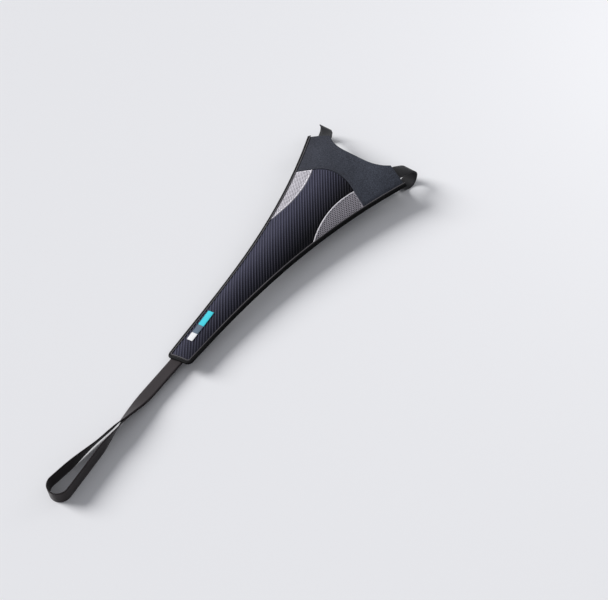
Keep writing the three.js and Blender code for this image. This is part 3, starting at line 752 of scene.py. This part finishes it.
spread = np.concatenate([[-1, -0.985, -0.965], np.linspace(-0.945, 0.945, 71), [0.965, 0.985, 1]])
top_shares = np.linspace(1, 0, 46)
x, y = rows_between(front_edge, lambda x: yoke_seam(x) + seam_gap / 2, top_shares, spread)
margin = cloth_half(y) - np.abs(x)
press = np.clip((margin - tape_reach) / yoke_slope, 0, 1)
lap = np.exp(-(np.abs(y - y[0]) / lap_width) ** 2) * press
thin = np.clip(1 - np.abs(y - y[-1]) / front_thin, 0, 1)
outer_rows = [hung(x, y, yoke_pressed + yoke_rise * press + lap_height * lap)]
inner_rows = [hung(x, y, cloth_low + front_lift * thin * press)]
map_rows = [np.stack([x, y], -1)]
edge_x = x[-1]


def hem_round(base_x, base_y, angle, radii):
    """Points on the fold of the hem, where it turns round the front edge."""
    return hung(base_x, base_y + hem_middle[0] + radii[0] * math.cos(angle),
                hem_middle[1] + radii[1] * math.sin(angle))


for k, angle in enumerate(np.radians(np.linspace(75, -90, hem_steps))):
    base_x = edge_x * (1 - hem_draw * min((k + 1) / (hem_steps / 2), 1))
    base_y = front_edge(base_x)
    outer_rows.append(hem_round(base_x, base_y, angle, hem_outer)[None])
    inner_rows.append(hem_round(base_x, base_y, angle, hem_inner)[None])
    map_rows.append(np.stack([base_x, base_y + hem_map_step * (k + 1)], -1)[None])
for back in np.linspace(1.5, hem_fold, 7):
    base_x = edge_x * (1 - hem_draw)
    base_y = front_edge(base_x) - back
    outer_rows.append(hung(base_x, base_y, hem_low)[None])
    inner_rows.append(hung(base_x, base_y, hem_high)[None])
    map_y = front_edge(base_x) + hem_map_step * hem_steps + back
    map_rows.append(np.stack([base_x, map_y], -1)[None])
outer_rows, inner_rows = np.concatenate(outer_rows), np.concatenate(inner_rows)
yoke = cloth_sheet("yoke_cloth", inner_rows, outer_rows, np.concatenate(map_rows) * 0.001,
                   yoke_finish)
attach(yoke, "root")
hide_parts("yoke_panel")


# The edge tape: black woven binding folded over every layer, down one side, round the tail
# and up the other. Its top leg ends in a raised bead, coloured lighter as a painted highlight.
tape_start_y = front_y + 3.0


def edge_path():
    """The cut edge of the cloth in mm, from the left front corner round the tail."""
    radius = tail_corner - tape_nose
    straight_end = cloth_tail_y + radius
    right = [(float(cloth_half(y)), y) for y in np.linspace(tape_start_y, straight_end, 150)]
    corner_x = right[-1][0] - radius
    for angle in np.radians(np.linspace(0, 90, 13))[1:]:
        right.append((corner_x + radius * math.cos(angle), straight_end - radius * math.sin(angle)))
    tail = [(corner_x * share, cloth_tail_y) for share in np.linspace(1, 0, 12)[1:]]
    right = np.array(right + tail)
    left = right[:-1] * (-1, 1)
    return np.concatenate([left, right[::-1]])


def tube(name, rings, uv, finish):
    """A closed body from rings of points that follow one another, with flat ends."""
    stations, count = rings.shape[:2]
    ids = np.arange(stations * count).reshape(stations, count)
    after = np.roll(ids, -1, axis=1)
    faces = np.stack([ids[:-1], after[:-1], after[1:], ids[1:]], -1).reshape(-1, 4).tolist()
    faces += [ids[0].tolist(), ids[-1].tolist()[::-1]]
    return new_object(name, rings.reshape(-1, 3), faces, uv.reshape(-1, 2), finish)


tape_finish, tree, shade, cut_map = finish_of("binding_tape", 0.7, 0.12, 0.0)
parts = tree.nodes.new("ShaderNodeSeparateXYZ")
tree.links.new(cut_map, parts.inputs[0])
# The bead along the top leg's inner edge is painted lighter: a painted highlight.
ridge_highlight = tree.nodes.new("ShaderNodeMapRange")
ridge_highlight.inputs["From Min"].default_value = -0.0030
ridge_highlight.inputs["From Max"].default_value = -0.0037
tree.links.new(parts.outputs[0], ridge_highlight.inputs["Value"])
height, thread = woven(tree, cut_map, 0.0005, 0.0008)
body = mix_colors(tree, ridge_highlight.outputs[0], (0.0035, 0.0035, 0.004), (0.17, 0.16, 0.17))
color = toned_color(tree, body, cloud=0.1, fleck=0.25)
shaded = mix_colors(tree, thread, (0.002, 0.002, 0.0022), color)
tree.links.new(shaded, shade.inputs["Base Color"])
bumped(tree, shade, height, 0.00012)

# The folded tape's section: mm outwards from the cut edge, and height over the cloth.
section = np.array([
    (-4.2, 1.38), (0.3, 1.36), (0.3, -1.14), (-4.2, -1.14), (-4.28, -1.5), (-4.0, -1.82),
    (-2.0, -1.88), (0.1, -1.85), (0.8, -1.55), (1.25, -0.9), (1.42, 0.1), (1.3, 1.0),
    (0.85, 1.7), (0.1, 1.98), (-1.2, 2.0), (-2.6, 1.98), (-3.05, 2.2), (-3.4, 2.5),
    (-3.8, 2.62), (-4.2, 2.45), (-4.4, 2.05), (-4.4, 1.65)])
path = edge_path()
heading = np.gradient(path, axis=0)
heading /= np.linalg.norm(heading, axis=1, keepdims=True)
outwards = np.stack([heading[:, 1], -heading[:, 0]], -1)
run = np.concatenate([[0], np.cumsum(np.linalg.norm(np.diff(path, axis=0), axis=1))])
ring_x = path[:, None, 0] + outwards[:, None, 0] * section[None, :, 0]
ring_y = path[:, None, 1] + outwards[:, None, 1] * section[None, :, 0]
rings = hung(ring_x, ring_y, np.broadcast_to(section[None, :, 1], ring_x.shape))
uv = np.stack([np.broadcast_to(section[None, :, 0], ring_x.shape),
               np.broadcast_to(run[:, None], ring_x.shape)], -1) * 0.001
tape = tube("binding", rings, uv, tape_finish)
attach(tape, "root")
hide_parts("edge_tape")


# Sewing: short stitches of black thread along the tape, the seams and the hem.
stitches, stitches_in, stitches_out = node_tree_of("sewn_stitches", [
    ("Pitch", "NodeSocketFloat"), ("Length", "NodeSocketFloat"), ("Thread", "NodeSocketFloat"),
    ("Finish", "NodeSocketMaterial")])
link = stitches.links.new
to_curve = stitches.nodes.new("GeometryNodeMeshToCurve")
even_steps = stitches.nodes.new("GeometryNodeResampleCurve")
even_steps.mode = "LENGTH"
bead = stitches.nodes.new("GeometryNodeMeshUVSphere")
bead.inputs["Segments"].default_value = 6
bead.inputs["Rings"].default_value = 4
bead.inputs["Radius"].default_value = 1.0
tangent = stitches.nodes.new("GeometryNodeInputTangent")
lie = stitches.nodes.new("FunctionNodeAlignRotationToVector")
lie.axis = "Z"
size = stitches.nodes.new("ShaderNodeCombineXYZ")
half_length = math_node(stitches, "MULTIPLY", stitches_in.outputs["Length"], 0.5)
place_each = stitches.nodes.new("GeometryNodeInstanceOnPoints")
whole = stitches.nodes.new("GeometryNodeRealizeInstances")
smooth = stitches.nodes.new("GeometryNodeSetShadeSmooth")
dressed = stitches.nodes.new("GeometryNodeSetMaterial")
link(stitches_in.outputs["Shape"], to_curve.inputs[0])
link(to_curve.outputs[0], even_steps.inputs["Curve"])
link(stitches_in.outputs["Pitch"], even_steps.inputs["Length"])
link(even_steps.outputs[0], place_each.inputs["Points"])
link(bead.outputs["Mesh"], place_each.inputs["Instance"])
link(tangent.outputs[0], lie.inputs["Vector"])
link(lie.outputs[0], place_each.inputs["Rotation"])
link(stitches_in.outputs["Thread"], size.inputs[0])
link(stitches_in.outputs["Thread"], size.inputs[1])
link(half_length, size.inputs[2])
link(size.outputs[0], place_each.inputs["Scale"])
link(place_each.outputs[0], whole.inputs[0])
link(whole.outputs[0], smooth.inputs[0])
link(smooth.outputs[0], dressed.inputs[0])
link(stitches_in.outputs["Finish"], dressed.inputs["Material"])
link(dressed.outputs[0], stitches_out.inputs[0])

thread_finish, tree, shade, cut_map = finish_of("sewing_thread", 0.5, 0.4, 0.1)
color = toned_color(tree, (0.02, 0.02, 0.023), cloud=0.1, fleck=0.2, size=4000.0)
tree.links.new(color, shade.inputs["Base Color"])


def sewn(name, lines, pitch=0.0030, length=0.0023, thread=0.00023):
    """Rows of stitches along lines, with pitch, stitch length and thread radius in metres."""
    row = grown(name, lines, stitches, {
        "Pitch": pitch, "Length": length, "Thread": thread, "Finish": thread_finish})
    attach(row, "root")
    return row


# How far each row lies in from its edge or seam, and its height over the cloth
tape_row_in, tape_row_high = 2.3, 2.05
seam_row_in, seam_row_step, seam_row_end = 2.2, 1.8, 5.5
hem_row_in, hem_row_half, yoke_row_high = 8.0, 80.0, 1.78
net_row_in, net_row_high = 1.9, 1.25
net_row_front, net_row_rear = 1.0, 4.0
thin_thread = 0.00018

tape_row = path - tape_row_in * outwards
sewn("tape_stitches", [hung(tape_row[:, 0], tape_row[:, 1], tape_row_high)])
seam_x = np.linspace(-1, 1, 161)
seam_y = np.full_like(seam_x, seam_corner_y)
for _ in range(settling_rounds):
    seam_y = yoke_seam(seam_x * (cloth_half(seam_y) - seam_row_end)) + seam_row_in
seam_x = seam_x * (cloth_half(seam_y) - seam_row_end)
seam_rows = [hung(seam_x, seam_y + step, yoke_row_high) for step in (0, seam_row_step)]
sewn("seam_stitches", seam_rows, pitch=0.0026, length=0.0019, thread=thin_thread)
hem_x = np.linspace(-hem_row_half, hem_row_half, 161)
hem_row = hung(hem_x, front_edge(hem_x) - hem_row_in, yoke_row_high)
sewn("hem_stitches", [hem_row], pitch=0.0028, length=0.0021, thread=thin_thread)
net_y = np.linspace(seam_corner_y - net_row_front, insert_tip_y + net_row_rear, 90)
net_x = insert_seam(net_y) + net_row_in
net_rows = [hung(side * net_x, net_y, net_row_high) for side in (-1, 1)]
sewn("net_stitches", net_rows, pitch=0.0028, length=0.0021, thread=thin_thread)


# The label: a narrow woven ribbon sewn flat on the mesh near the tail, beside the left
# tape, in plain fields of turquoise, grey and white.
label_front_x, label_rear_x = -8.1, -5.3
label_front, label_width, label_length = -363.8, 9.5, 52.0
label_low, label_high, label_swell, label_end = 2.0, 2.32, 0.18, 1.5
end_rise, edge_fade = 0.1, 0.12
grey_from, white_from = 0.48 * label_length, 0.76 * label_length
label_row_in, label_row_high = 0.8, 2.48


def label_middle(behind):
    """x of the ribbon's middle at a distance behind its front end, in mm."""
    return label_front_x + (label_rear_x - label_front_x) * behind / label_length


label_finish, tree, shade, cut_map = finish_of("label_ribbon", 0.5, 0.4, 0.15)
parts = tree.nodes.new("ShaderNodeSeparateXYZ")
tree.links.new(cut_map, parts.inputs[0])
to_grey = math_node(tree, "GREATER_THAN", parts.outputs[1], grey_from * 0.001)
to_white = math_node(tree, "GREATER_THAN", parts.outputs[1], white_from * 0.001)
field = mix_colors(tree, to_grey, (0.030, 0.66, 0.78), (0.10, 0.15, 0.21))
field = mix_colors(tree, to_white, field, (0.88, 0.88, 0.90))
color = toned_color(tree, field, cloud=0.05, fleck=0.12, size=2500.0)
height, thread = woven(tree, cut_map, 0.0004, 0.00055)
dark = mix_colors(tree, 1.0, color, (0.55, 0.55, 0.55), "MULTIPLY")
tree.links.new(mix_colors(tree, thread, dark, color), shade.inputs["Base Color"])
bumped(tree, shade, height, 0.00008)
across, down = np.meshgrid(np.linspace(-0.5, 0.5, 13), np.linspace(0, 1, 61))
ends = np.clip(np.minimum(down, 1 - down) * label_length / label_end, 0, 1)
edge_drop = edge_fade * (np.abs(across) * 2) ** 6
x = label_middle(label_length * down) + label_width * across
y = label_front - label_length * down
low = hung(x, y, label_low)
high = hung(x, y, label_high + label_swell * ends * (1 - edge_drop) + end_rise * (1 - ends))
label = cloth_sheet("label_ribbon", low, high,
                    np.stack([across * label_width, down * label_length], -1) * 0.001, label_finish)
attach(label, "root")
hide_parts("label")
behind = np.linspace(1, label_length - 1, 30)
label_rows = [hung(label_middle(behind) + side * (label_width / 2 - label_row_in),
                   label_front - behind, label_row_high) for side in (-1, 1)]
sewn("label_stitches", label_rows, pitch=0.0024, length=0.0014, thread=0.00013)


# The two front straps: flat black webbing sewn under the corners. Each makes one loop that
# takes a bar, and comes back under the cover, where a hook pad grips a loop pad.
facet = math.radians(15)
strap_half = 11.0
strap_thick = 1.6
strap_inner = 14.3
strap_middle = strap_inner + strap_thick / 2
loop_height = strap_inner + strap_thick
strap_sewn_rear, strap_sewn_front, strap_return_y = -55.0, -19.0, -35.0
strap_bend, strap_lead = 5.0, 0.4
strap_gap, pad_gap = 0.35, 0.3
under_tape = hem_low - strap_gap
pad_thick, pad_width = 1.0, 18.0
bar_pad_length, bar_loop_pad_y, bar_hook_pad_y = 12.0, -39.0, -41.0


def underside(x, y, half, height):
    """Middle and width direction of a band that lies under the cover, in mm."""
    low, high = (hung(x + s * half, y, height) * 1000 - cover_origin for s in (-1, 1))
    return (low + high) / 2, (high - low) / np.linalg.norm(high - low)


def touch_angle(point, centre, radius, turn):
    """Angle on a circle where a straight run from a point touches it."""
    away = np.asarray(point) - centre
    return math.atan2(away[1], away[0]) + turn * math.acos(radius / np.linalg.norm(away))


def smooth_step(value, low, high):
    share = min(max((value - low) / (high - low), 0), 1)
    return share * share * (3 - 2 * share)


def band(name, stations, width, thick, finish, edge=0.45):
    """A flat band along stations in mm, each with its middle and its width direction."""
    centre = np.array([s[0] for s in stations])
    side = np.array([s[1] for s in stations])
    ahead = np.gradient(centre, axis=0)
    ahead /= np.linalg.norm(ahead, axis=1, keepdims=True)
    normal = np.cross(side, ahead)
    normal /= np.linalg.norm(normal, axis=1, keepdims=True)
    w, h = width / 2, thick / 2
    shoulder_w, shoulder_h = w - 0.12, h * 0.75
    across = np.linspace(edge - w, w - edge, 9)
    profile = [(a, h) for a in across]
    profile += [(shoulder_w, shoulder_h), (w, 0.0), (shoulder_w, -shoulder_h)]
    profile += [(a, -h) for a in across[::-1]]
    profile += [(-shoulder_w, -shoulder_h), (-w, 0.0), (-shoulder_w, shoulder_h)]
    profile = np.array(profile)
    rings = (centre[:, None] + side[:, None] * profile[None, :, :1]
             + normal[:, None] * profile[None, :, 1:])
    run = np.concatenate([[0], np.cumsum(np.linalg.norm(np.diff(centre, axis=0), axis=1))])
    uv = np.stack([np.broadcast_to(profile[None, :, 0], rings.shape[:2]),
                   np.broadcast_to(run[:, None], rings.shape[:2])], -1) * 0.001
    return tube(name, (rings + cover_origin) * 0.001, uv, finish), run[-1]


webbing_finish = cloth_finish(
    "black_webbing", (0.014, 0.014, 0.017), roughness=0.6, across=0.0009, along=0.0012,
    depth=0.0003, specular=0.35, sheen=0.1, cloud=0.08, fleck=0.2, gap=0.4)
loop_pile = cloth_finish(
    "loop_pile", (0.012, 0.012, 0.014), roughness=0.95, across=0.0004, along=0.0005,
    depth=0.0005, specular=0.1, sheen=0.3, fleck=0.5, gap=0.2)
hook_pile = cloth_finish(
    "hook_pile", (0.008, 0.008, 0.009), roughness=0.5, across=0.0015, along=0.0012,
    depth=0.0006, specular=0.4, sheen=0.0, fleck=0.2, gap=0.3)
level = np.array([1.0, 0, 0])
sewn_height = under_tape - strap_thick / 2
loop_top = under_tape - strap_thick - pad_gap
hook_top = loop_top - pad_thick - pad_gap
return_height = hook_top - pad_thick - pad_gap - strap_thick / 2


def bar_strap(name, x, loop_x):
    """Stations under the corner, along the run, round the loop and back to the pads."""
    under = [underside(x, y, strap_half, sewn_height)
             for y in np.linspace(strap_sewn_rear, strap_sewn_front, 9)]
    leave = under[-1][0]
    arrive = underside(x, strap_return_y, strap_half, return_height)
    back = underside(x, strap_sewn_rear, strap_half, return_height)
    centre = np.array([0, loop_height])
    radius = strap_middle / math.cos(facet / 2)
    start = touch_angle(leave[1:], centre, radius, -1)
    lowest = touch_angle(arrive[0][1:], centre, radius, 1) - 2 * math.pi

    def on_loop(angle):
        out = (start + 3 * facet - angle) / (start + facet)
        home = (angle - lowest + 3 * facet) / (math.pi - 3 * facet)
        share = smooth_step(min(out, home), 0, 1)
        return np.array([x + (loop_x - x) * share, strap_middle * math.cos(angle),
                         loop_height + strap_middle * math.sin(angle)])

    looped = [(on_loop(a), level) for a in np.arange(start, lowest, -facet / 3)]
    first = looped[0][0]
    run = []
    for share in np.linspace(0, 1, 8)[:-1]:
        point = leave + (first - leave) * (strap_lead + (1 - strap_lead) * share)
        point[0] = x + (first[0] - x) * share
        width_way = under[-1][1] * (1 - share) + level * share
        run.append((point, width_way / np.linalg.norm(width_way)))
    last = looped[-1][0]
    before = arrive[0] + (last - arrive[0]) * strap_bend / np.linalg.norm(last - arrive[0])
    after = arrive[0] + (back[0] - arrive[0]) * strap_bend / np.linalg.norm(back[0] - arrive[0])
    bend = []
    for share in np.linspace(0, 1, 9):
        point = before * (1 - share) ** 2 + 2 * arrive[0] * share * (1 - share) + after * share**2
        width_way = level * (1 - share) + arrive[1] * share
        bend.append((point, width_way / np.linalg.norm(width_way)))
    stations = under + run + looped + bend + [back]
    return band(name, stations, 2 * strap_half, strap_thick, webbing_finish)


def pad(name, x, front, length, top, finish):
    """A closure pad under the cover, from its front end backwards, below its top height."""
    stations = [underside(x, front - length * share, pad_width / 2, top - pad_thick / 2)
                for share in np.linspace(0, 1, 7)]
    return band(name, stations, pad_width, pad_thick, finish, edge=0.3)[0]


for hand, x, loop_x in (("left", -66.0, -84.0), ("right", 66.0, 73.0)):
    strap, strap_run = bar_strap("bar_strap_" + hand, x, loop_x)
    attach(strap, "root")
    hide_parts("handlebar_strap_" + hand)
    loops = pad("loop_patch_" + hand, x, bar_loop_pad_y, bar_pad_length, loop_top, loop_pile)
    hooks = pad("hook_patch_" + hand, x, bar_hook_pad_y, bar_pad_length, hook_top, hook_pile)
    for patch, node, slot in ((loops, "loop_pad_", "loop_tape"), (hooks, "hook_pad_", "hook_tape")):
        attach(patch, "root")
        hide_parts(node + hand)


# The tail strap: a flat brown-black elastic sewn under the tail. Its two layers turn on
# edge together, part to make one loop round a post, and end at a hook and a loop pad.
post_y, post_inner, post_facets = -684.0, 14.0, 13
tail_strap_x, tail_half_width, tail_thick = -5.0, 11.0, 1.4
twist_start, edge_on, parting, twist_end = 60.0, 135.0, 112.0, 212.0
strand_turn = math.radians(66)
left_upright_run, right_upright_lag, right_upright_run = 60.0, 10.0, 43.0
layer_step = tail_thick + 0.3
upper_height = under_tape - tail_thick / 2
lower_height = upper_height - layer_step
sewn_front = tail_y + 34.0
sewn_rear = tail_y + 4.0
strap_pad_gap, tail_pad_length, strap_over_pad = 8.0, 26.0, 2.0
strand_start = 5.0
loop_pad_front = sewn_front + strap_pad_gap + tail_pad_length
tail_loop_top = lining_low - pad_gap
tail_hook_top = tail_loop_top - pad_thick - pad_gap
tail_end_height = tail_hook_top - pad_thick - pad_gap - tail_thick / 2


def turned(behind, layer):
    """One layer of the strap at a distance behind the tail, as both turn on edge."""
    start, way = underside(tail_strap_x, tail_y, tail_half_width, (upper_height + lower_height) / 2)
    start_turn = math.asin(way[2])
    turn = start_turn + (strand_turn - start_turn) * smooth_step(behind, twist_start, edge_on)
    right_start = parting + right_upright_lag
    if layer > 0:
        upright_from, upright_to = twist_end - left_upright_run, twist_end
    else:
        upright_from, upright_to = right_start, right_start + right_upright_run
    turn += (math.pi / 2 - turn) * smooth_step(behind, upright_from, upright_to)
    sink = (start[2] - tail_half_width * math.sin(start_turn)) / math.cos(start_turn)
    height = tail_half_width * math.sin(turn) + sink * math.cos(turn)
    apart = layer_step / 2 * layer
    drift = start[0] * (1 - min(max(behind / parting, 0), 1))
    middle = np.array([drift - apart * math.sin(turn), tail_y - behind,
                       height + apart * math.cos(turn)])
    return middle, np.array([math.cos(turn), 0, math.sin(turn)])


post = np.array([0, post_y])
touch = touch_angle((-layer_step / 2, tail_y - parting), post, post_inner + tail_thick / 2, 1)
post_sweep = 3 * math.pi - 2 * touch
post_radius = (post_inner + tail_thick / 2) / math.cos(post_sweep / (2 * post_facets))
landing = (post_radius * math.cos(touch), post_y + post_radius * math.sin(touch))
widen = (-layer_step / 2 - landing[0]) / (tail_y - parting - landing[1])


def strand(layer):
    """Stations of one layer from the tail to the loop: 1 is the upper one, -1 the lower."""
    made = []
    for behind in np.linspace(strand_start, twist_end, 70):
        middle, way = turned(behind, layer)
        middle[0] -= layer * max(behind - parting, 0) * widen
        made.append((middle, way))
    return made


def under_tail(front, rear, count, height):
    """Stations of the strap where it lies under the cover, from one y to another."""
    return [underside(tail_strap_x, y, tail_half_width, height)
            for y in np.linspace(front, rear, count)]


upright = np.array([0, 0, 1.0])
loop_radius = post_inner + tail_thick / 2
around = [(np.array([loop_radius * math.cos(a), post_y + loop_radius * math.sin(a),
                     tail_half_width]), upright)
          for a in np.linspace(touch, touch + post_sweep, 40)]
stations = under_tail(sewn_front, sewn_rear, 8, upper_height) + strand(1) + around
stations += strand(-1)[::-1] + under_tail(sewn_rear, sewn_front, 8, lower_height)
stations += under_tail(sewn_front + strap_pad_gap, loop_pad_front + strap_over_pad, 2,
                       tail_end_height)
elastic_finish = cloth_finish(
    "brown_elastic", (0.018, 0.012, 0.014), roughness=0.75, across=0.0013, along=0.0008,
    depth=0.0002, specular=0.3, sheen=0.2, cloud=0.08, fleck=0.25, gap=0.55)
tail_band, tail_run = band("tail_elastic", stations, 2 * tail_half_width, tail_thick,
                           elastic_finish)
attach(tail_band, "root")
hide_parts("tail_strap")
tail_loops = pad("tail_loop_patch", tail_strap_x, loop_pad_front, tail_pad_length,
                 tail_loop_top, loop_pile)
tail_hooks = pad("tail_hook_patch", tail_strap_x, loop_pad_front, tail_pad_length,
                 tail_hook_top, hook_pile)
for patch, node, slot in ((tail_loops, "tail_loop_pad", "loop_tape"),
                          (tail_hooks, "tail_hook_pad", "hook_tape")):
    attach(patch, "root")
    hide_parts(node)


bpy.context.view_layer.update()
